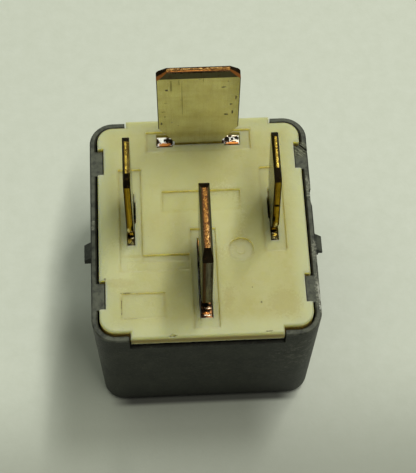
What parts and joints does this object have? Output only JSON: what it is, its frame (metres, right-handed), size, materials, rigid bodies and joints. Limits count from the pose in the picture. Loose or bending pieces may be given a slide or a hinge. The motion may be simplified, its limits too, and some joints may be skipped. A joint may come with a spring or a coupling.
{
  "type": "automotive relay",
  "caption": "Plug-in automotive relay: dark moulded cover, cream base with wide load blades and narrow coil blades, and a sprung armature inside.",
  "frame": {"origin": "centre of the cover's closed end, on the surface that the relay stands on", "axes": "+Z from the closed end to the blade tips, +Y from the common blade to the fixed load blade, +X to the right"},
  "size_m": [0.0278, 0.0286, 0.0365],
  "materials": {
    "cover_plastic": "satin moulded, dark grey",
    "base_plastic": "satin moulded, cream",
    "tinned_copper": "tinned faces, bare copper cut edges",
    "coil_brass": "bare stamped brass",
    "bobbin_plastic": "satin moulded",
    "enamelled_copper": "glossy enamel",
    "plated_iron": "plated",
    "spring_bronze": "rolled strip",
    "rivet_steel": "plated",
    "contact_silver": "satin",
    "braid_copper": "woven"
  },
  "bodies": {
    "frame": {"cover": "cover_plastic", "base": "base_plastic", "terminal_load_fixed": "tinned_copper", "terminal_load_common": "tinned_copper", "terminal_coil_left": "coil_brass", "terminal_coil_right": "coil_brass", "bobbin": "bobbin_plastic", "winding": "enamelled_copper", "coil_lead_start": "enamelled_copper", "coil_lead_finish": "enamelled_copper", "core": "plated_iron", "yoke": "plated_iron", "spring_rivets": "rivet_steel", "fixed_contact": "contact_silver", "stop_bracket": "rivet_steel"},
    "armature": {"armature": "plated_iron", "armature_rivets": "rivet_steel", "contact_spring": "spring_bronze", "moving_contact": "contact_silver", "braid": "braid_copper"}
  },
  "joints": [
    {"name": "armature_hinge", "type": "hinge", "parent": "frame", "child": "armature", "pos_m": [0, -0.0113, 0.006], "axis": [1, 0, 0], "range_deg": [0, 3], "stiffness_Nm_per_rad": 0.1, "springref_deg": -6.88, "deforming": ["contact_spring", "braid"]}
  ]
}
